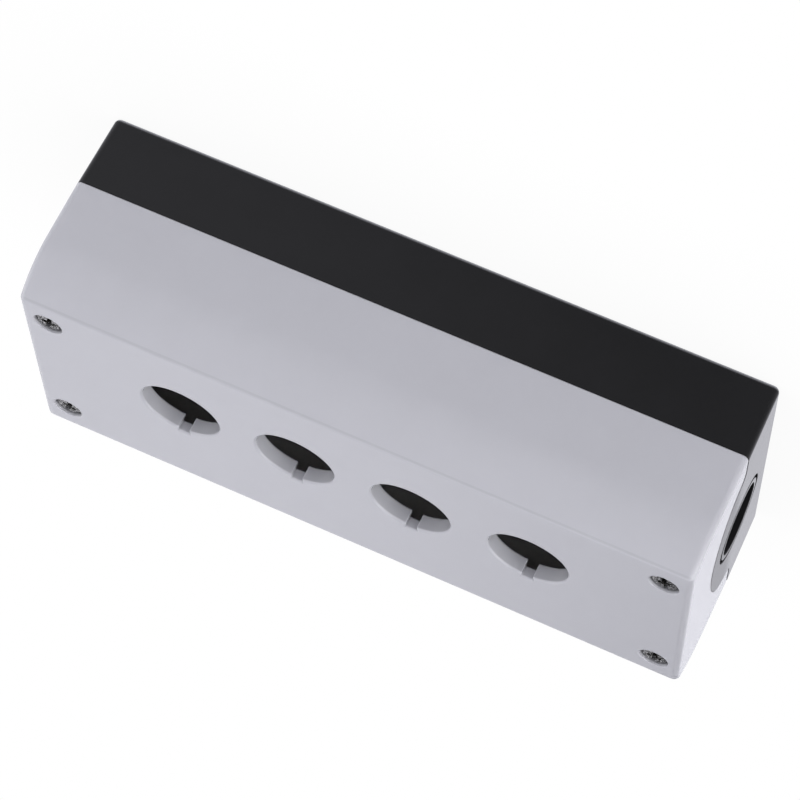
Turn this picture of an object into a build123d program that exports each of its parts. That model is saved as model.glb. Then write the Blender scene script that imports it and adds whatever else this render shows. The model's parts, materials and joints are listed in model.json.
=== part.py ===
from build123d import *
import math
import os

# A pushbutton enclosure for four 22.5 mm stations. A black base tray is fixed to the wall, and a
# grey cover with four keyed panel holes closes it on a rim seal, held by one screw at each corner.
# The ends of the base rise in an arched tongue, which holds the cable entry, into a cut-out of the cover.
# The origin is the centre of the back face. +X runs along the row of holes, +Y away from their keyways,
# and +Z out of the front face. Lengths are in millimetres and angles in degrees.

# Overall sizes
length = 187.0
width = 80.0
depth = 55.5
base_height = 21.5

# Base tray
base_wall = 3.0
base_floor = 2.8
base_draft = 1.0
base_corner_radius = 1.8
back_edge_radius = 1.6
back_relief = 0.6
back_land = 7.0
relief_radius = 3.0

# Cover shell
cover_wall = 2.8
front_thickness = 3.2
cover_overhang = 0.25
cover_end_inset = 0.2
cover_draft = 0.5
shoulder_height = 38.5
front_width = 68.0
crease_radius = 1.2
cover_end_radius = 1.6
cover_lip = 0.3
cavity_radius = 1.0

# Panel holes
station_count = 4
station_pitch = 33.0
station_offset = 5.0
panel_hole_diameter = 22.5
key_width = 3.2
key_reach = 12.85
land_margin = 1.2
land_height = 1.3
hole_edge = 0.4

# Arched tongue at each end, a crown arc between two side arcs, flared into the parting line
tongue_half_width = 28.0
tongue_rise = 17.0
tongue_side_radius = 13.0
tongue_flare = 4.0
tongue_gap = 0.15

# Cable entry knockout in each end
entry_height = 20.5
entry_diameter = 20.4
entry_depth = 2.8
entry_web = 1.2
entry_ring_diameter = 23.0
entry_groove_diameter = 25.4
entry_groove_depth = 1.2
entry_pad_width = 26.0

# Rim: a rib on the base presses the seal into a groove of the cover
rim_inset = 2.2
rim_radius = 3.0
rim_width = 4.4
rim_height = 3.8
groove_width = 2.0
groove_depth = 2.5
rib_width = 1.4
rib_height = 1.2

# Cover screws
screw_end_inset = 7.5
screw_side_inset = 15.0
screw_sink = 0.6
screw_head_diameter = 7.6
screw_head_height = 2.4
screw_diameter = 4.0
screw_length = 44.0
slot_width = 1.2
slot_depth = 1.1
cross_span = 4.8
cross_width = 1.7
cross_depth = 1.9
recess_clearance = 0.35
shank_clearance = 0.25
thread_clearance = 0.05
washer_thickness = 0.8

# Square screw columns of the cover and posts of the base, run out to the end walls
column_width = 8.4
column_head_width = 12.4
column_head_depth = 7.5
post_width = 8.4
post_gap = 0.3
post_web = 2.0
post_web_drop = 5.0
post_bore_spare = 2.0

# Wall fixing holes
fixing_end_inset = 23.5
fixing_side_inset = 13.0
fixing_diameter = 4.5

# Contact block seats on the base floor
rail_spacing = 21.0
rail_thickness = 1.8
rail_height = 7.0
rail_overrun = 3.0
cross_rib_height = 4.0
window_length = 12.0
window_height = 3.0

# Worked out from the driving sizes
half_length = length / 2
half_width = width / 2
rim_x = half_length - rim_inset
rim_y = half_width - rim_inset
cover_half_length = half_length - cover_end_inset
cover_half_width = half_width + cover_overhang
cavity_top = depth - front_thickness
station_xs = [station_pitch * (i - (station_count - 1) / 2) for i in range(station_count)]
corner_signs = [(-1, 1), (1, 1), (1, -1), (-1, -1)]
screw_x = half_length - screw_end_inset
screw_y = half_width - screw_side_inset
fixing_x = half_length - fixing_end_inset
fixing_y = half_width - fixing_side_inset
recess_diameter = screw_head_diameter + 2 * recess_clearance
head_top = depth - screw_sink
head_bottom = head_top - screw_head_height
recess_floor = head_bottom - washer_thickness
shank_hole_diameter = screw_diameter + 2 * shank_clearance
screw_tip = head_bottom - screw_length


def block(x0, x1, y0, y1, z0, z1):
    """A box between two corners."""
    box = Box(x1 - x0, y1 - y0, z1 - z0)
    return Pos((x0 + x1) / 2, (y0 + y1) / 2, (z0 + z1) / 2) * box


def upright(diameter, x, y, z0, z1):
    """A cylinder along Z."""
    return Pos(x, y, (z0 + z1) / 2) * Cylinder(diameter / 2, z1 - z0)


def end_post(size, side_x, side_y, z0, z1):
    """A square post round a cover screw, which runs into the end wall behind it."""
    near = side_x * (screw_x - size / 2)
    far = side_x * (half_length - base_wall / 2)
    y = side_y * screw_y
    return block(min(near, far), max(near, far), y - size / 2, y + size / 2, z0, z1)


def end_disc(diameter, x0, x1):
    """A cylinder along X on the axis of the cable entry."""
    disc = Cylinder(diameter / 2, abs(x1 - x0))
    return Pos((x0 + x1) / 2, 0, entry_height) * Rot(0, 90, 0) * disc


def both_ends(solid):
    """The solid at the +X end and its mirror image at the -X end."""
    return [solid, mirror(solid, about=Plane.YZ)]


def arc(centre, radius, start, end):
    """An arc of less than half a turn about a centre, between the directions of two points."""
    first = (Vector(*start) - Vector(*centre)).normalized()
    last = (Vector(*end) - Vector(*centre)).normalized()
    middle = (first + last).normalized()
    points = [Vector(*centre) + direction * radius for direction in (first, middle, last)]
    return Edge.make_three_point_arc(*points)


def arch_face(grow):
    """The YZ region below the rim line of an end, with the line moved out by grow.

    Every arc keeps its centre, so faces of different growth are true offsets of each other.
    """
    side_y = tongue_half_width - tongue_side_radius
    crown_radius = ((side_y ** 2 + tongue_rise ** 2 - tongue_side_radius ** 2)
                    / (2 * (tongue_rise - tongue_side_radius)))
    side_centre = (side_y, base_height)
    crown_centre = (0, base_height + tongue_rise - crown_radius)
    flare_y = side_y + math.sqrt((tongue_side_radius + tongue_flare) ** 2 - tongue_flare ** 2)
    flare_centre = (flare_y, base_height + tongue_flare)
    line_z = base_height + grow
    outer_y = max(width, 2 * flare_y)

    def mirrored(point):
        return (-point[0], point[1])

    to_side = (Vector(*side_centre) - Vector(*crown_centre)).normalized()
    shoulder = Vector(*crown_centre) + to_side * (crown_radius + grow)
    shoulder = (shoulder.X, shoulder.Y)
    to_flare = (Vector(*flare_centre) - Vector(*side_centre)).normalized()
    foot = Vector(*side_centre) + to_flare * (tongue_side_radius + grow)
    foot = (foot.X, foot.Y)
    toe = (flare_y, line_z)
    edges = [
        Edge.make_line((outer_y, 0), (outer_y, line_z)),
        Edge.make_line((outer_y, line_z), toe),
        arc(flare_centre, tongue_flare - grow, toe, foot),
        arc(side_centre, tongue_side_radius + grow, foot, shoulder),
        arc(crown_centre, crown_radius + grow, shoulder, mirrored(shoulder)),
        arc(mirrored(side_centre), tongue_side_radius + grow, mirrored(shoulder), mirrored(foot)),
        arc(mirrored(flare_centre), tongue_flare - grow, mirrored(foot), mirrored(toe)),
        Edge.make_line(mirrored(toe), (-outer_y, line_z)),
        Edge.make_line((-outer_y, line_z), (-outer_y, 0)),
        Edge.make_line((-outer_y, 0), (outer_y, 0)),
    ]
    return Plane.YZ * Face(Wire(edges))


def arch_block(grow, x0, x1):
    """The region below the rim line as a solid between two places along X."""
    return Pos(x0, 0, 0) * extrude(arch_face(grow), amount=x1 - x0)


def rim_band(low, high, band_width):
    """A closed band that follows the rim line, over the arches too, between two heights above it."""
    outer = RectangleRounded(2 * rim_x + band_width, 2 * rim_y + band_width, rim_radius + band_width / 2)
    inner = RectangleRounded(2 * rim_x - band_width, 2 * rim_y - band_width, rim_radius - band_width / 2)
    ring = extrude(Plane.XY.offset(base_height + low) * (outer - inner), amount=high - low)
    x0 = rim_x - band_width / 2
    x1 = rim_x + band_width / 2
    reach = rim_y - rim_radius
    corridor = block(x0 - 1, x1 + 1, -reach, reach, 0, depth)
    end = (arch_block(high, x0, x1) - arch_block(low, x0 - 1, x1 + 1)) & corridor
    for cut in both_ends(corridor):
        ring -= cut
    for piece in both_ends(end):
        ring += piece
    return ring


def cover_profile(inset, bottom, top, crease):
    """The YZ section of the cover between two heights, moved in by inset on the long sides."""
    lean = math.tan(math.radians(cover_draft))
    shoulder_y = cover_half_width - inset - lean * (shoulder_height - base_height)
    foot_y = cover_half_width - inset + lean * (base_height - bottom)
    outer_y = cover_half_width - lean * (shoulder_height - base_height)
    fall = outer_y - front_width / 2
    rise = depth - shoulder_height
    radius = (fall ** 2 + rise ** 2) / (2 * (fall * math.cos(math.radians(cover_draft))
                                            - rise * math.sin(math.radians(cover_draft))))
    centre_y = outer_y - radius * math.cos(math.radians(cover_draft))
    centre_z = shoulder_height - radius * math.sin(math.radians(cover_draft))
    inner_radius = radius - inset
    top_y = centre_y + math.sqrt(inner_radius ** 2 - (top - centre_z) ** 2)
    start_y = centre_y + inner_radius * math.cos(math.radians(cover_draft))
    start_z = centre_z + inner_radius * math.sin(math.radians(cover_draft))
    right = arc((centre_y, centre_z), inner_radius, (start_y, start_z), (top_y, top))
    left = arc((-centre_y, centre_z), inner_radius, (-start_y, start_z), (-top_y, top))
    edges = [
        Edge.make_line((foot_y, bottom), (start_y, start_z)),
        right,
        Edge.make_line((top_y, top), (-top_y, top)),
        left,
        Edge.make_line((-start_y, start_z), (-foot_y, bottom)),
        Edge.make_line((-foot_y, bottom), (foot_y, bottom)),
    ]
    face = Face(Wire(edges))
    corners = face.vertices().filter_by(lambda v: abs(v.Y - top) < 1e-6)
    return Plane.YZ * face.fillet_2d(crease, corners)


def cover_body(inset, bottom, top, crease):
    """The cover's section run along X and cut by its two leaning end planes."""
    run = extrude(cover_profile(inset, bottom, top, crease), amount=half_length, both=True)
    lean = math.tan(math.radians(cover_draft))
    foot_x = cover_half_length - inset + lean * (base_height - bottom)
    top_x = cover_half_length - inset - lean * (top - base_height)
    side = Plane.XZ * Polygon((-foot_x, bottom), (foot_x, bottom), (top_x, top), (-top_x, top), align=None)
    return run & extrude(side, amount=width, both=True)


def keyed_hole(x):
    """One panel hole with its keyway, as the solid to be cut away."""
    z0 = cavity_top - land_height - 1
    hole = upright(panel_hole_diameter, x, station_offset, z0, depth + 1)
    key = block(x - key_width / 2, x + key_width / 2, station_offset - key_reach, station_offset, z0, depth + 1)
    return hole + key


def cover():
    body = cover_body(0, base_height, depth, crease_radius)
    ends = [face for face in body.faces() if abs(face.normal_at().X) > 0.9]
    body = fillet([edge for face in ends for edge in face.edges() if edge.center().Z > base_height + 0.01],
                  cover_end_radius)
    foot = body.faces().sort_by(Axis.Z)[0]
    body = chamfer(foot.edges(), cover_lip)
    cavity = cover_body(cover_wall, base_height - 1, cavity_top, cavity_radius)
    shell = body - cavity
    shell += rim_band(0, rim_height, rim_width) & body
    for side_x, side_y in corner_signs:
        shell += end_post(column_head_width, side_x, side_y, cavity_top - column_head_depth, cavity_top)
        shell += end_post(column_width, side_x, side_y, base_height, cavity_top)
    land_x = station_xs[-1] + panel_hole_diameter / 2 + land_margin
    land_y = panel_hole_diameter / 2 + land_margin
    shell += block(-land_x, land_x, station_offset - land_y, station_offset + land_y,
                   cavity_top - land_height, cavity_top)
    inner_y = half_width - base_wall
    gap = arch_block(tongue_gap, half_length - rim_width, half_length + 1)
    gap &= block(0, length, -inner_y, inner_y, 0, depth)
    for cut in both_ends(gap):
        shell -= cut
    shell -= rim_band(-1, groove_depth, groove_width)
    for side_x, side_y in corner_signs:
        x, y = side_x * screw_x, side_y * screw_y
        shell -= upright(recess_diameter, x, y, recess_floor, depth + 1)
        shell -= upright(shank_hole_diameter, x, y, base_height - 1, depth)
    for x in station_xs:
        shell -= keyed_hole(x)
    front = shell.faces().sort_by(Axis.Z)[-1]
    hole_rims = [wire for wire in front.inner_wires() if len(wire.edges()) > 1]
    return chamfer([edge for wire in hole_rims for edge in wire.edges()], hole_edge)


def contact_seats():
    """Two windowed rails along the row of stations, tied by cross ribs between the stations."""
    run = (station_count * station_pitch) / 2 + rail_overrun
    top = base_floor + rail_height
    seats = []
    for side in (-1, 1):
        y = station_offset + side * rail_spacing / 2
        rail = block(-run, run, y - rail_thickness / 2, y + rail_thickness / 2, base_floor, top)
        for x in station_xs:
            z0 = top - window_height
            rail -= block(x - window_length / 2, x + window_length / 2,
                          y - rail_thickness, y + rail_thickness, z0, top + 1)
        seats.append(rail)
    for i in range(station_count + 1):
        x = station_pitch * (i - station_count / 2)
        seats.append(block(x - rail_thickness / 2, x + rail_thickness / 2,
                           station_offset - rail_spacing / 2, station_offset + rail_spacing / 2,
                           base_floor, base_floor + cross_rib_height))
    return seats


def base():
    rim = Plane.XY.offset(base_height)
    tray = extrude(rim * Rectangle(length, width), amount=base_height, dir=(0, 0, -1), taper=base_draft)
    corners = tray.edges().filter_by(lambda edge: 0.01 < edge.center().Z < base_height - 0.01)
    tray = fillet(corners, base_corner_radius)
    tray = fillet(tray.faces().sort_by(Axis.Z)[0].edges(), back_edge_radius)
    inside = rim * Rectangle(length - 2 * base_wall, width - 2 * base_wall)
    tray -= extrude(inside, amount=base_height - base_floor, dir=(0, 0, -1), taper=base_draft)
    for end in both_ends(arch_block(0, half_length - base_wall, half_length) & block(
            0, length, -rim_y, rim_y, base_height, depth)):
        tray += end
    tray += rim_band(0, rib_height, rib_width)
    relief = RectangleRounded(length - 2 * back_land, width - 2 * back_land, relief_radius)
    tray -= extrude(relief, amount=back_relief)
    pad = block(half_length - entry_depth - entry_web, half_length - base_wall / 2,
                -entry_pad_width / 2, entry_pad_width / 2,
                entry_height - entry_pad_width / 2, entry_height + entry_pad_width / 2)
    for solid in both_ends(pad):
        tray += solid
    for side_x, side_y in corner_signs:
        post_top = base_height - post_gap
        tray += end_post(post_width, side_x, side_y, base_floor, post_top)
        x = side_x * screw_x
        to_side = sorted((side_y * screw_y, side_y * (half_width - base_wall / 2)))
        tray += block(x - post_web / 2, x + post_web / 2, *to_side, base_floor, post_top - post_web_drop)
    for seat in contact_seats():
        tray += seat
    for side_x, side_y in corner_signs:
        tray -= upright(fixing_diameter, side_x * fixing_x, side_y * fixing_y, -1, base_height)
        tray -= upright(screw_diameter + 2 * thread_clearance, side_x * screw_x, side_y * screw_y,
                        screw_tip - post_bore_spare, base_height)
    groove = (end_disc(entry_groove_diameter, half_length - entry_groove_depth, half_length + 1)
              - end_disc(entry_ring_diameter, half_length - entry_groove_depth - 1, half_length + 1))
    entry = end_disc(entry_diameter, half_length - entry_depth, half_length + 1)
    for cut in both_ends(groove + entry):
        tray -= cut
    return tray


def cover_seal():
    return rim_band(rib_height, groove_depth, groove_width)


def cover_screw(x, y):
    head = upright(screw_head_diameter, x, y, head_bottom, head_top)
    shank = upright(screw_diameter, x, y, screw_tip, head_bottom)
    reach = screw_head_diameter
    head -= block(x - reach, x + reach, y - slot_width / 2, y + slot_width / 2, head_top - slot_depth, depth)
    for turn in (0, 90):
        arm = Box(cross_span, cross_width, 2 * cross_depth)
        head -= Pos(x, y, head_top) * Rot(0, 0, turn) * arm
    return head + shank


def screw_seal(x, y):
    ring = upright(screw_head_diameter, x, y, recess_floor, head_bottom)
    return ring - upright(shank_hole_diameter, x, y, recess_floor - 1, head_bottom + 1)


def export(shape, name):
    export_step(shape, "parts/" + name + ".step")


os.makedirs("parts", exist_ok=True)
export(base(), "base")
export(cover(), "cover")
export(cover_seal(), "cover_seal")
for number, (side_x, side_y) in enumerate(corner_signs, start=1):
    export(cover_screw(side_x * screw_x, side_y * screw_y), "cover_screw_" + str(number))
    export(screw_seal(side_x * screw_x, side_y * screw_y), "screw_seal_" + str(number))
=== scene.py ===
"""The looks of a pushbutton enclosure: a grey moulded cover on a black base, held by four plated screws.

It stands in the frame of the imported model, in metres, with +Z out of the front and +X along the holes.
"""
import json
import math

import bpy
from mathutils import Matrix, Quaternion, Vector


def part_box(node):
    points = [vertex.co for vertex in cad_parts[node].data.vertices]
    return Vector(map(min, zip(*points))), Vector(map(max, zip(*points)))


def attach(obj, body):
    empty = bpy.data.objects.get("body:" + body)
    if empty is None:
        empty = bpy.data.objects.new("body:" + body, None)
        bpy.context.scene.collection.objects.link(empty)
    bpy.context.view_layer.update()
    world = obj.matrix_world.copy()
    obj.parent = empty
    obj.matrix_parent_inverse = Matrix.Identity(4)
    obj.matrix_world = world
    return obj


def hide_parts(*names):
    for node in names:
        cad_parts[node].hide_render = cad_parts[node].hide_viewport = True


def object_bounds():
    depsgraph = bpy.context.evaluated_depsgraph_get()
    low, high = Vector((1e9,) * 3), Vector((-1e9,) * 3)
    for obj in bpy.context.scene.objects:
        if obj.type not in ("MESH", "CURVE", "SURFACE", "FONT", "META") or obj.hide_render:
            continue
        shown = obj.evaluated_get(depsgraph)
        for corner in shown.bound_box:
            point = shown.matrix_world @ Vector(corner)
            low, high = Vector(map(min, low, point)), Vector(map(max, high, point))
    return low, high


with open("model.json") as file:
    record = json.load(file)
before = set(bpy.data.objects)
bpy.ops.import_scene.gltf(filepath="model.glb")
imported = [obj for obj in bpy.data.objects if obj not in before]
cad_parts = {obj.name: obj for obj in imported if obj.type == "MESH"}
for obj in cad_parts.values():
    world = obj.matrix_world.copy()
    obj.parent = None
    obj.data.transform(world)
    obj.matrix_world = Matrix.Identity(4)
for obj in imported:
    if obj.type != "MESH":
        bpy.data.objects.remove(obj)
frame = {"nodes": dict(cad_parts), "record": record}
cad_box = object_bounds()

MM = 0.001
BLACK = (0.0, 0.0, 0.0)
WHITE = (1.0, 1.0, 1.0)

# Camera, fitted to the photograph's view
AIM = Vector((0.573, 3.285, 27.75)) * MM
CAMERA_AZIMUTH = math.radians(167.726)
CAMERA_ELEVATION = math.radians(22.527)
CAMERA_ROLL = math.radians(-152.545)
CAMERA_DISTANCE = 887.55 * MM
LENS = 153.2
SENSOR = 36.0
CLIP_START = 0.05
CLIP_END = 50.0

# Studio, in metres: each panel has its place, its height and its power
FLOOR_SIZE = 12.0
FLOOR_ALBEDO = 0.85
FLOOR_SHADE = 0.08
SHADOW_REACH = 0.07
ROOM_LEVEL = 0.74
ROOM_GLOSS = 0.8
FLOOR_GLOSS = 0.9
ROOM_TINT = (0.93, 0.93, 1.0)
PANEL_SIZE = 1.5
PANELS = {
    "front_panel": ((0.0, 1.0, 0.95), PANEL_SIZE, 1.4),
    "low_panel": ((0.0, 1.2, 0.175), 0.24, 1.5),
    "left_panel": ((-1.3, 0.2, 0.7), PANEL_SIZE, 9.4),
    "right_panel": ((1.3, 0.2, 0.7), PANEL_SIZE, 16.2),
}

# Parting line, front, and the place of the front's long edges across and up, in millimetres
BASE_HEIGHT = 21.5
FRONT_HEIGHT = cad_box[1][2] / MM
FRONT_EDGE = (34.4, 55.05)

# Ends of the cover, which are drawn out level with the tongues, in millimetres; the lean is per millimetre
END_SKIN = (91.4, 93.0)
END_STEP = 0.18
END_STEP_RISE = (-10.0, 10.0)
END_LEAN = 0.00676
END_DRAW = 0.41
PARTING_SLACK = 0.01
MERGE_REACH = 0.001
COVER_SMOOTH = math.radians(30)

# Cover screws: the turn of each in degrees, then sizes in millimetres and the taper of each recess
SCREW_TURNS = {"cover_screw_1": 78, "cover_screw_2": 100, "cover_screw_3": 84, "cover_screw_4": 70}
HEAD_RADIUS = 3.8
HEAD_HEIGHT = 2.4
HEAD_SIDES = 64
RIM_ROUND = 1.1
RIM_STEPS = 8
SLOT_SPAN = 3 * HEAD_RADIUS
SLOT_WIDTH = 1.2
SLOT_DEPTH = 1.1
SLOT_TAPER = 0.9
CROSS_SPAN = 4.8
CROSS_WIDTH = 1.7
CROSS_DEPTH = 1.9
CROSS_TAPER = 0.6
CORE_WIDTH = 3.0
CORE_TAPER = 0.4
SHANK_RADIUS = 1.98
SHANK_SIDES = 32
CORE_RADIUS = 1.65
SHANK_LENGTH = 44.0
PLAIN_LENGTH = 22.0
NECK_LENGTH = 0.5
TIP_LENGTH = 1.0
TIP_TAPER = 0.6
THREAD_PITCH = 1.4
THREAD_TURNS = 14
THREAD_STEPS = 24
SCREW_SMOOTH = math.radians(35)

# How much of its length a level face's normal has upwards or downwards
LEVEL = 0.9

# Where the screws stand and end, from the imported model, in millimetres
screw_low, screw_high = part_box("cover_screw_1")
SCREW_X = abs(screw_low[0] + screw_high[0]) / 2 / MM
SCREW_Y = abs(screw_low[1] + screw_high[1]) / 2 / MM
HEAD_TOP = screw_high[2] / MM

# Over how much the shading rounds each edge of the mouldings, in millimetres
EDGE_SOFTNESS = 0.6

# Where a finish, or the light and shade painted on it, changes, from the first place to the second, in
# millimetres
SUNK_BELOW_FRONT = (0.1, 0.5)
SHADED_BELOW_FRONT = (0.4, 1.3)
HOLE_ROW_SIDES = (20.0, 21.0)
HOLE_ROW_ENDS = (70.0, 71.0)
INSIDE_SIDES = (37.6, 38.4)
INSIDE_ENDS = (91.1, 91.9)
INSIDE_TOP = (43.0, 45.0)
CREASE_REACH = (0.1, 0.47)
TONGUE_FOOT = (BASE_HEIGHT, BASE_HEIGHT + 6.0)
BACK_HIGHLIGHT_BAND = (0.0, 1.4)
RECESS_MOUTH = (4.0, 4.5)
HEAD_MIDDLE = (2.5, 2.9)
HEAD_RIM = (3.1, 3.5)
BELOW_HEAD_TOP = (0.15, 0.7)
FLOOR_CARD_X = (-90.0, 90.0)
FLOOR_CARD_Y = (30.0, 45.0)

# Where the room's reflection darkens, as parts of a direction of length 1
CEILING_RISE = (0.5, 0.85)
RIGHT_TURN = (-0.22, -0.02)

# How far each of these changes goes, as a share
HOLE_PAINTED_LIGHT = 0.18
RECESS_PAINTED_LIGHT = 0.6
RECESS_SHADE = 0.6
CREASE_SHADE = 0.1
TONGUE_DULL = 0.5
BACK_HIGHLIGHT_PALE = 0.5
RIM_SHADE_AND_DULL = 0.75
FLOOR_CARD = 0.5
CEILING_SHADE = 0.8


class Socket:
    """One output socket of a shader node, with Python's arithmetic."""

    def __init__(self, finish, socket):
        self.finish = finish
        self.socket = socket

    def result(self, operation, first, second):
        return self.finish.node("ShaderNodeMath", {"operation": operation}, {0: first, 1: second})

    def __add__(self, other):
        return self.result("ADD", self, other)

    def __radd__(self, other):
        return self.result("ADD", other, self)

    def __sub__(self, other):
        return self.result("SUBTRACT", self, other)

    def __rsub__(self, other):
        return self.result("SUBTRACT", other, self)

    def __mul__(self, other):
        return self.result("MULTIPLY", self, other)

    def __rmul__(self, other):
        return self.result("MULTIPLY", other, self)


class Finish:
    """The nodes of a material, or of the room."""

    def __init__(self, owner):
        owner.use_nodes = True
        self.tree = owner.node_tree
        self.tree.nodes.clear()

    def node(self, kind, settings, inputs, output=0):
        """Adds a node, sets its settings, then its inputs by name or place, and returns one output."""
        made = self.tree.nodes.new(kind)
        for name, value in settings.items():
            setattr(made, name, value)
        for key, value in inputs.items():
            if isinstance(value, Socket):
                self.tree.links.new(value.socket, made.inputs[key])
            else:
                made.inputs[key].default_value = value
        return Socket(self, made.outputs[output]) if len(made.outputs) else None

    def place(self):
        """The point on the piece, in millimetres."""
        point = self.node("ShaderNodeTexCoord", {}, {}, "Object")
        return self.node("ShaderNodeVectorMath", {"operation": "SCALE"}, {0: point, "Scale": 1 / MM})

    def noise(self, point, size, detail=2.0, roughness=0.5):
        """Soft noise from 0 to 1, whose grains are about size millimetres wide."""
        return self.node("ShaderNodeTexNoise", {}, {
            "Vector": point, "Scale": 1 / size, "Detail": detail, "Roughness": roughness})

    def blend(self, share, low, high):
        """A colour between two."""
        return self.node("ShaderNodeMix", {"data_type": "RGBA"}, {0: share, 6: low, 7: high}, 2)

    def mixed(self, share, first, second):
        """A shader between two."""
        return self.node("ShaderNodeMixShader", {}, {0: share, 1: first, 2: second})

    def shining(self, kind, tint, strength):
        """An emission or a background of one colour."""
        return self.node(kind, {}, {"Color": colour(*tint), "Strength": strength})

    def ray(self, kind):
        """A share that is 1 for one kind of ray and 0 for the others."""
        return self.node("ShaderNodeLightPath", {}, {}, f"Is {kind} Ray")

    def mirrored_ray(self):
        """A share that is 1 for rays that the object reflects sharply or lets through."""
        return self.ray("Glossy") + self.ray("Transmission")

    def bump(self, height, depth, edge=None):
        """A normal that is tilted by a height from 0 to 1, over depth millimetres."""
        inputs = {"Strength": 1.0, "Distance": depth * MM, "Height": height}
        if edge is not None:
            inputs["Normal"] = edge
        return self.node("ShaderNodeBump", {}, inputs)

    def ramp(self, value, low, high):
        """A share that rises smoothly from 0 to 1 as a value goes from low to high."""
        return self.node("ShaderNodeMapRange", {"interpolation_type": "SMOOTHSTEP"}, {
            "Value": value, "From Min": low, "From Max": high, "To Min": 0.0, "To Max": 1.0})

    def along(self, vector, axis):
        """One of the three parts of a vector, by its letter."""
        return self.node("ShaderNodeSeparateXYZ", {}, {0: vector}, axis)

    def off_middle(self, point, axis):
        """How far a point is from the middle of the object along one axis."""
        return self.node("ShaderNodeMath", {"operation": "ABSOLUTE"}, {0: self.along(point, axis)})

    def around(self, first, second, near, far):
        """A share that falls from 1 to 0 as a point goes from near to far away along two offsets."""
        return 1 - self.ramp(first * first + second * second, near ** 2, far ** 2)

    def around_screw(self, point, near, far):
        """A share that falls from 1 to 0 as a point goes from near to far away from a screw's middle."""
        across = self.off_middle(point, "X") - SCREW_X
        beside = self.off_middle(point, "Y") - SCREW_Y
        return self.around(across, beside, near, far)

    def soft_edge(self, radius):
        """A normal that rounds the moulding's edges over radius millimetres."""
        return self.node("ShaderNodeBevel", {"samples": 8}, {"Radius": radius * MM})

    def grazing(self, blend):
        """A share that rises from 0 where the surface faces the eye to 1 at its outline."""
        return self.node("ShaderNodeLayerWeight", {}, {"Blend": blend}, "Facing")


def colour(red, green, blue):
    """A solid colour, in linear light."""
    return (red, green, blue, 1.0)


def surface(name, build):
    """A material whose nodes are made by a function of its finish."""
    material = bpy.data.materials.new(name)
    finish = Finish(material)
    shader = build(finish)
    finish.node("ShaderNodeOutputMaterial", {}, {"Surface": shader})
    return material


def front_crease(finish, point):
    """A share that is 1 along the two long edges of the front."""
    across = finish.off_middle(point, "Y") - FRONT_EDGE[0]
    up = finish.along(point, "Z") - FRONT_EDGE[1]
    return finish.around(across, up, *CREASE_REACH)


def hole_row(finish, point):
    """A share that is 1 in the middle of the front, where the four holes are."""
    to_side = finish.ramp(finish.off_middle(point, "Y"), *HOLE_ROW_SIDES)
    to_end = finish.ramp(finish.off_middle(point, "X"), *HOLE_ROW_ENDS)
    return (1 - to_side) * (1 - to_end)


def inside(finish, point):
    """A share that is 1 on the inner faces of the cover's walls."""
    to_side = finish.ramp(finish.off_middle(point, "Y"), *INSIDE_SIDES)
    to_end = finish.ramp(finish.off_middle(point, "X"), *INSIDE_ENDS)
    to_front = finish.ramp(finish.along(point, "Z"), *INSIDE_TOP)
    return (1 - to_side) * (1 - to_end) * (1 - to_front)


def grey_plastic(finish):
    """Light grey moulding with a fine eroded texture and a faint mottle.

    The walls of the holes and recesses and the inner faces are painted lighter, as painted light. The
    front's long edges and the foot of each screw recess are painted darker, as painted shade.
    """
    point = finish.place()
    mottle = finish.noise(point, 9.0, detail=3.0)
    grain = finish.noise(point, 0.35, detail=3.0, roughness=0.6)
    sheen = finish.grazing(0.5)
    depth = FRONT_HEIGHT - finish.along(point, "Z")
    sunk = finish.ramp(depth, *SUNK_BELOW_FRONT)
    foot = finish.ramp(depth, *SHADED_BELOW_FRONT)
    recess = finish.around_screw(point, *RECESS_MOUTH)
    # Painted light: the walls of the holes and of the screw recesses, just below the front, are painted
    # lighter.
    painted_light = sunk * (HOLE_PAINTED_LIGHT * hole_row(finish, point) + RECESS_PAINTED_LIGHT * recess * (1 - foot))
    # Painted shade: the front's long edges and the deep foot of each screw recess are painted darker.
    painted_shade = CREASE_SHADE * front_crease(finish, point) + RECESS_SHADE * recess * foot
    face = finish.blend(mottle, colour(0.455, 0.455, 0.48), colour(0.475, 0.475, 0.502))
    lit = finish.blend(painted_light, face, colour(0.70, 0.70, 0.73))
    # Painted light: the inner faces of the cover are painted lighter, to brighten the inside seen through
    # the holes.
    body = finish.blend(inside(finish, point), lit, colour(0.70, 0.69, 0.67))
    return finish.node("ShaderNodeBsdfPrincipled", {}, {
        "Base Color": finish.blend(painted_shade, body, colour(*BLACK)),
        "Roughness": 0.46 + 0.06 * grain - 0.26 * sheen,
        "Specular IOR Level": 0.5,
        "Subsurface Weight": 1.0,
        "Subsurface Radius": (1.0, 1.0, 1.0),
        "Subsurface Scale": 0.8 * MM,
        "Coat Weight": sheen,
        "Coat Roughness": 0.25,
        "Normal": finish.bump(grain, 0.015, finish.soft_edge(EDGE_SOFTNESS))})


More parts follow.
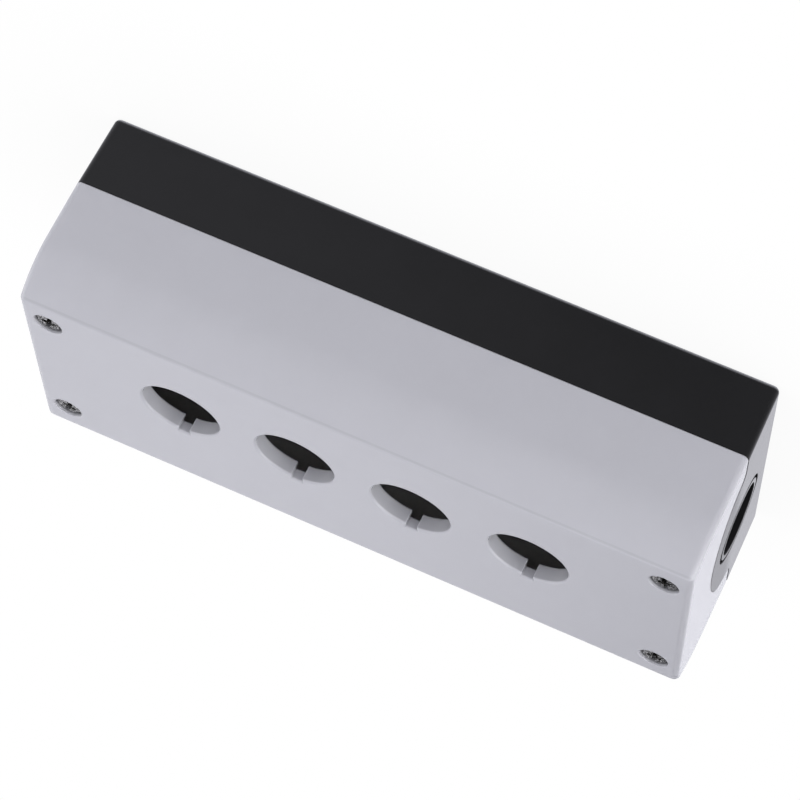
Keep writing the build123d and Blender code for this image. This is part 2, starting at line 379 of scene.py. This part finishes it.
def black_plastic(finish):
    """Black moulding with the same texture, a duller tongue and a pale painted highlight along the edge
    round the back.
    """
    point = finish.place()
    mottle = finish.noise(point, 14.0, detail=3.0)
    grain = finish.noise(point, 0.4, detail=3.0, roughness=0.6)
    sheen = finish.grazing(0.5)
    height = finish.along(point, "Z")
    # Painted highlight: a pale band is painted along the bottom edge round the back.
    painted_back_highlight = 1 - finish.ramp(height, *BACK_HIGHLIGHT_BAND)
    tongue = finish.ramp(height, *TONGUE_FOOT)
    body = finish.blend(mottle, colour(0.006, 0.006, 0.0066), colour(0.009, 0.009, 0.0099))
    return finish.node("ShaderNodeBsdfPrincipled", {}, {
        "Base Color": finish.blend(BACK_HIGHLIGHT_PALE * painted_back_highlight, body, colour(0.95, 0.95, 1.0)),
        "Roughness": 0.46 + 0.08 * grain - 0.26 * sheen,
        "Specular IOR Level": 0.2,
        "Coat Weight": sheen * (1 - TONGUE_DULL * tongue),
        "Coat Roughness": 0.25,
        "Normal": finish.bump(grain, 0.02, finish.soft_edge(EDGE_SOFTNESS))})


def seal_rubber(finish):
    """Matt black rubber with a faint grey bloom."""
    point = finish.place()
    bloom = finish.noise(point, 3.0, detail=4.0)
    return finish.node("ShaderNodeBsdfPrincipled", {}, {
        "Base Color": finish.blend(bloom, colour(0.02, 0.02, 0.02), colour(0.035, 0.035, 0.036)),
        "Roughness": 0.7 + 0.15 * bloom,
        "Normal": finish.bump(bloom, 0.02)})


def plated_steel(finish):
    """Dark plating with bright specks, rougher in the recess of the head and round its rim, where shade is
    also painted dark.
    """
    point = finish.place()
    grain = finish.noise(point, 0.25, detail=4.0)
    specks = finish.ramp(finish.noise(point, 0.45), 0.48, 0.6)
    below = finish.ramp(HEAD_TOP - finish.along(point, "Z"), *BELOW_HEAD_TOP)
    recess = finish.around_screw(point, *HEAD_MIDDLE) * below
    rim = 1 - finish.around_screw(point, *HEAD_RIM)
    # Painted shade: the recess of the head and the foot of its rim are painted dark, and also made
    # rougher.
    shade_and_dull = recess + RIM_SHADE_AND_DULL * rim * (1 - recess)
    plating = finish.blend(specks, colour(0.06, 0.058, 0.054), colour(0.95, 0.94, 0.92))
    return finish.node("ShaderNodeBsdfPrincipled", {}, {
        "Base Color": finish.blend(shade_and_dull, plating, colour(0.05, 0.048, 0.045)),
        "Metallic": 1.0,
        "Roughness": 0.14 + 0.2 * grain + 0.3 * shade_and_dull,
        "Normal": finish.bump(grain, 0.1)})


def floor_paint(finish):
    """White to the camera, with a painted shadow where the object stands over it, and pale in the object's
    reflections.

    What the right part of the long side reflects of it is dimmed, as by a dark card.
    """
    camera = finish.ray("Camera")
    point = finish.place()
    card_right = finish.ramp(finish.along(point, "X"), *FLOOR_CARD_X)
    card_front = finish.ramp(finish.along(point, "Y"), *FLOOR_CARD_Y)
    # Painted shadow: ambient occlusion darkens the floor close to the object.
    open_air = finish.node("ShaderNodeAmbientOcclusion", {"samples": 8}, {"Distance": SHADOW_REACH}, "AO")
    plain = finish.node("ShaderNodeBsdfDiffuse", {}, {"Color": colour(*[FLOOR_ALBEDO] * 3)})
    black = finish.shining("ShaderNodeEmission", BLACK, 0.0)
    white = finish.shining("ShaderNodeEmission", WHITE, 1.0)
    pale = finish.shining("ShaderNodeEmission", ROOM_TINT, FLOOR_GLOSS)
    mirrored = finish.mixed(1 - FLOOR_CARD * card_right * card_front, black, pale)
    shown = finish.mixed(camera, mirrored, white)
    shaded = finish.mixed(1 - FLOOR_SHADE * (1 - open_air), black, shown)
    return finish.mixed(camera + finish.mirrored_ray(), plain, shaded)


def studio_floor():
    """A wide plain floor, which isn't part of the object."""
    bpy.ops.mesh.primitive_plane_add(size=FLOOR_SIZE)
    floor = bpy.context.object
    floor.name = "studio_floor"
    floor.data.materials.append(surface("floor_paint", floor_paint))


def studio_room():
    """Even, slightly cool light from all round, and white behind the object.

    Reflections show pale walls to the left, a dark right side and a dimmer ceiling.
    """
    world = bpy.data.worlds.new("studio_room")
    bpy.context.scene.world = world
    room = Finish(world)
    way = room.node("ShaderNodeTexCoord", {}, {}, "Object")
    walls = 1 - CEILING_SHADE * room.ramp(room.along(way, "Z"), *CEILING_RISE)
    left = 1 - room.ramp(room.along(way, "X"), *RIGHT_TURN)
    lamp = room.shining("ShaderNodeBackground", ROOM_TINT, ROOM_LEVEL)
    black = room.shining("ShaderNodeBackground", BLACK, 0.0)
    pale = room.shining("ShaderNodeBackground", ROOM_TINT, ROOM_GLOSS)
    white = room.shining("ShaderNodeBackground", WHITE, 1.0)
    lit = room.mixed(room.mirrored_ray(), lamp, room.mixed(walls * left, black, pale))
    room.node("ShaderNodeOutputWorld", {}, {"Surface": room.mixed(room.ray("Camera"), lit, white)})


def soft_panel(name, place, width, height, power):
    """A soft light panel that faces the middle of the object."""
    lamp = bpy.data.lights.new(name, "AREA")
    lamp.shape = "RECTANGLE"
    lamp.size = width
    lamp.size_y = height
    lamp.energy = power
    panel = bpy.data.objects.new(name, lamp)
    panel.location = place
    panel.rotation_mode = "QUATERNION"
    panel.rotation_quaternion = (AIM - Vector(place)).to_track_quat("-Z", "Y")
    bpy.context.collection.objects.link(panel)


def photo_camera():
    """The camera of the photograph, which holds the enclosure almost upside down."""
    out = Vector((
        math.sin(CAMERA_AZIMUTH) * math.cos(CAMERA_ELEVATION),
        -math.cos(CAMERA_AZIMUTH) * math.cos(CAMERA_ELEVATION),
        math.sin(CAMERA_ELEVATION)))
    lens = bpy.data.cameras.new("photo_camera")
    lens.sensor_width = SENSOR
    lens.lens = LENS
    lens.clip_start = CLIP_START
    lens.clip_end = CLIP_END
    camera = bpy.data.objects.new("photo_camera", lens)
    camera.location = AIM + CAMERA_DISTANCE * out
    camera.rotation_mode = "QUATERNION"
    camera.rotation_quaternion = Quaternion(out, CAMERA_ROLL) @ (-out).to_track_quat("-Z", "Y")
    bpy.context.collection.objects.link(camera)
    bpy.context.scene.camera = camera


def start(add, **size):
    """Adds a primitive with nothing else selected, puts its place into its mesh and returns its object."""
    bpy.ops.object.select_all(action="DESELECT")
    add(**size)
    bpy.ops.object.transform_apply(location=True, rotation=True, scale=True)
    return bpy.context.object


def shape(piece, chosen, *steps):
    """Selects faces of a piece by a test of each and runs edit mode operators on them."""
    bpy.context.view_layer.objects.active = piece
    bpy.ops.object.mode_set(mode="EDIT")
    bpy.ops.mesh.select_mode(type="FACE")
    bpy.ops.mesh.select_all(action="DESELECT")
    bpy.ops.object.mode_set(mode="OBJECT")
    for face in piece.data.polygons:
        face.select = chosen(face)
    bpy.ops.object.mode_set(mode="EDIT")
    for operator, settings in steps:
        operator(**settings)
    bpy.ops.object.mode_set(mode="OBJECT")


def modified(piece, kind, **settings):
    """Adds a modifier to a piece and applies it."""
    modifier = piece.modifiers.new(kind.lower(), kind)
    for name, value in settings.items():
        setattr(modifier, name, value)
    bpy.context.view_layer.objects.active = piece
    bpy.ops.object.modifier_apply(modifier=modifier.name)


def joined(pieces):
    """Makes one mesh of several pieces and returns its object."""
    bpy.ops.object.select_all(action="DESELECT")
    for piece in pieces:
        piece.select_set(True)
    bpy.context.view_layer.objects.active = pieces[0]
    bpy.ops.object.join()
    return pieces[0]


def moved(piece, place):
    """Moves a piece's mesh and leaves its object at the origin."""
    bpy.ops.object.select_all(action="DESELECT")
    piece.select_set(True)
    bpy.context.view_layer.objects.active = piece
    piece.location = place
    bpy.ops.object.transform_apply(location=True, rotation=True, scale=True)


def faces_up(face):
    return face.normal.z > LEVEL


def faces_down(face):
    return face.normal.z < -LEVEL


def down(length):
    """A step that draws the chosen faces down into a new stretch."""
    return bpy.ops.mesh.extrude_region_move, {"TRANSFORM_OT_translate": {"value": (0, 0, -length * MM)}}


def narrowed(share):
    """A step that makes the chosen faces narrower across."""
    return bpy.ops.transform.resize, {"value": (share, share, 1)}


def paint(piece, material):
    """Gives a piece one material all over."""
    piece.data.materials.clear()
    piece.data.materials.append(material)


def copied(node, name):
    """A piece with the mesh of a CAD node, its loose triangles merged."""
    piece = bpy.data.objects.new(name, frame["nodes"][node].data.copy())
    bpy.context.collection.objects.link(piece)
    bpy.ops.object.select_all(action="DESELECT")
    piece.select_set(True)
    bpy.context.view_layer.objects.active = piece
    bpy.ops.mesh.customdata_custom_splitnormals_clear()
    bpy.ops.object.mode_set(mode="EDIT")
    bpy.ops.mesh.select_all(action="SELECT")
    bpy.ops.mesh.remove_doubles(threshold=MERGE_REACH * MM)
    bpy.ops.object.mode_set(mode="OBJECT")
    return piece


def share_between(value, low, high):
    """0 below low, 1 above high, and evenly between."""
    return min(max((value - low) / (high - low), 0), 1)


def end_draw(rise):
    """How far the end of the cover moves out at a height above the parting line."""
    if rise <= -PARTING_SLACK:
        return 0
    return END_STEP * share_between(rise, *END_STEP_RISE) + END_LEAN * rise


def drawn_out(piece, side):
    """Draws one end of the cover out, a little at the parting line and by END_DRAW at the front."""
    group = piece.vertex_groups.new(name="end_skin")
    for vertex in piece.data.vertices:
        skin = share_between(side * vertex.co.x / MM, *END_SKIN)
        share = skin * end_draw(vertex.co.z / MM - BASE_HEIGHT) / END_DRAW
        group.add([vertex.index], share, "REPLACE")
    modified(piece, "DISPLACE", direction="X", mid_level=0, strength=side * END_DRAW * MM,
             vertex_group="end_skin")
    piece.vertex_groups.clear()


def moulded_cover():
    """The cover, with its ends drawn out level with the tongues of the base."""
    cover = copied("cover", "cover_moulded")
    for side in (-1, 1):
        drawn_out(cover, side)
    bpy.ops.object.shade_smooth_by_angle(angle=COVER_SMOOTH)
    modified(cover, "WEIGHTED_NORMAL", keep_sharp=True)
    paint(cover, finishes["grey_plastic"])
    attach(cover, "root")
    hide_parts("cover")


def recess_cutter(span, width, depth, turn, taper):
    """A block with a narrower floor, for one arm of the recess in the head."""
    cutter = start(bpy.ops.mesh.primitive_cube_add, size=1, location=(0, 0, HEAD_HEIGHT * MM),
                   rotation=(0, 0, math.radians(turn)), scale=(span * MM, width * MM, 2 * depth * MM))
    shape(cutter, faces_down, narrowed(taper))
    return cutter


def screw_head(turn):
    """The head with its rounded rim, its slot and its tapered cross, its seat at height 0."""
    head = start(bpy.ops.mesh.primitive_cylinder_add, vertices=HEAD_SIDES, radius=HEAD_RADIUS * MM,
                 depth=HEAD_HEIGHT * MM, location=(0, 0, HEAD_HEIGHT / 2 * MM))
    shape(head, faces_up, (bpy.ops.mesh.bevel, {
        "offset": RIM_ROUND * MM, "segments": RIM_STEPS, "affect": "EDGES"}))
    cutters = [recess_cutter(SLOT_SPAN, SLOT_WIDTH, SLOT_DEPTH, turn, SLOT_TAPER)]
    for arm in (0, 90):
        cutters.append(recess_cutter(CROSS_SPAN, CROSS_WIDTH, CROSS_DEPTH, turn + arm, CROSS_TAPER))
    cutters.append(recess_cutter(CORE_WIDTH, CORE_WIDTH, CROSS_DEPTH, turn + 45, CORE_TAPER))
    for cutter in cutters:
        modified(head, "BOOLEAN", operation="DIFFERENCE", solver="EXACT", object=cutter)
        bpy.data.objects.remove(cutter)
    return head


def screw_shank():
    """The plain neck below the head, the thinner core and its chamfered tip."""
    shank = start(bpy.ops.mesh.primitive_cylinder_add, vertices=SHANK_SIDES, radius=SHANK_RADIUS * MM,
                  depth=PLAIN_LENGTH * MM, location=(0, 0, -PLAIN_LENGTH / 2 * MM))
    core_length = SHANK_LENGTH - PLAIN_LENGTH - NECK_LENGTH - TIP_LENGTH
    shape(shank, faces_down, down(NECK_LENGTH), narrowed(CORE_RADIUS / SHANK_RADIUS),
          down(core_length), down(TIP_LENGTH), narrowed(TIP_TAPER))
    return shank


def screw_thread():
    """One ridge wound round the core."""
    ridge = start(bpy.ops.mesh.primitive_circle_add, vertices=3, radius=(SHANK_RADIUS - CORE_RADIUS) * MM,
                  location=(CORE_RADIUS * MM, 0, (TIP_LENGTH - SHANK_LENGTH) * MM),
                  rotation=(math.radians(90), math.radians(90), 0))
    modified(ridge, "SCREW", axis="Z", angle=2 * math.pi, screw_offset=THREAD_PITCH * MM,
             iterations=THREAD_TURNS, steps=THREAD_STEPS, render_steps=THREAD_STEPS)
    shape(ridge, faces_up, (bpy.ops.mesh.select_all, {"action": "SELECT"}),
          (bpy.ops.mesh.fill_holes, {"sides": 3}),
          (bpy.ops.mesh.normals_make_consistent, {"inside": False}))
    return ridge


def cover_screw(node, turn):
    """A detailed screw in the place of a CAD one."""
    low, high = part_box(node)
    screw = joined([screw_head(turn), screw_shank(), screw_thread()])
    moved(screw, ((low[0] + high[0]) / 2, (low[1] + high[1]) / 2, high[2] - HEAD_HEIGHT * MM))
    bpy.ops.object.shade_smooth_by_angle(angle=SCREW_SMOOTH)
    screw.name = node + "_plated"
    paint(screw, finishes["plated_steel"])
    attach(screw, "root")
    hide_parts(node)


finishes = {
    "grey_plastic": surface("grey_plastic_finish", grey_plastic),
    "black_plastic": surface("black_plastic_finish", black_plastic),
    "seal_rubber": surface("seal_rubber_finish", seal_rubber),
    "plated_steel": surface("plated_steel_finish", plated_steel),
}
for subpart in frame["record"]["subparts"]:
    paint(frame["nodes"][subpart["node"]], finishes[subpart["material_slot"]])

moulded_cover()
for node, turn in SCREW_TURNS.items():
    cover_screw(node, turn)

studio_floor()
studio_room()
for name, (place, height, power) in PANELS.items():
    soft_panel(name, place, PANEL_SIZE, height, power)
photo_camera()
bpy.context.scene.view_settings.view_transform = "Standard"
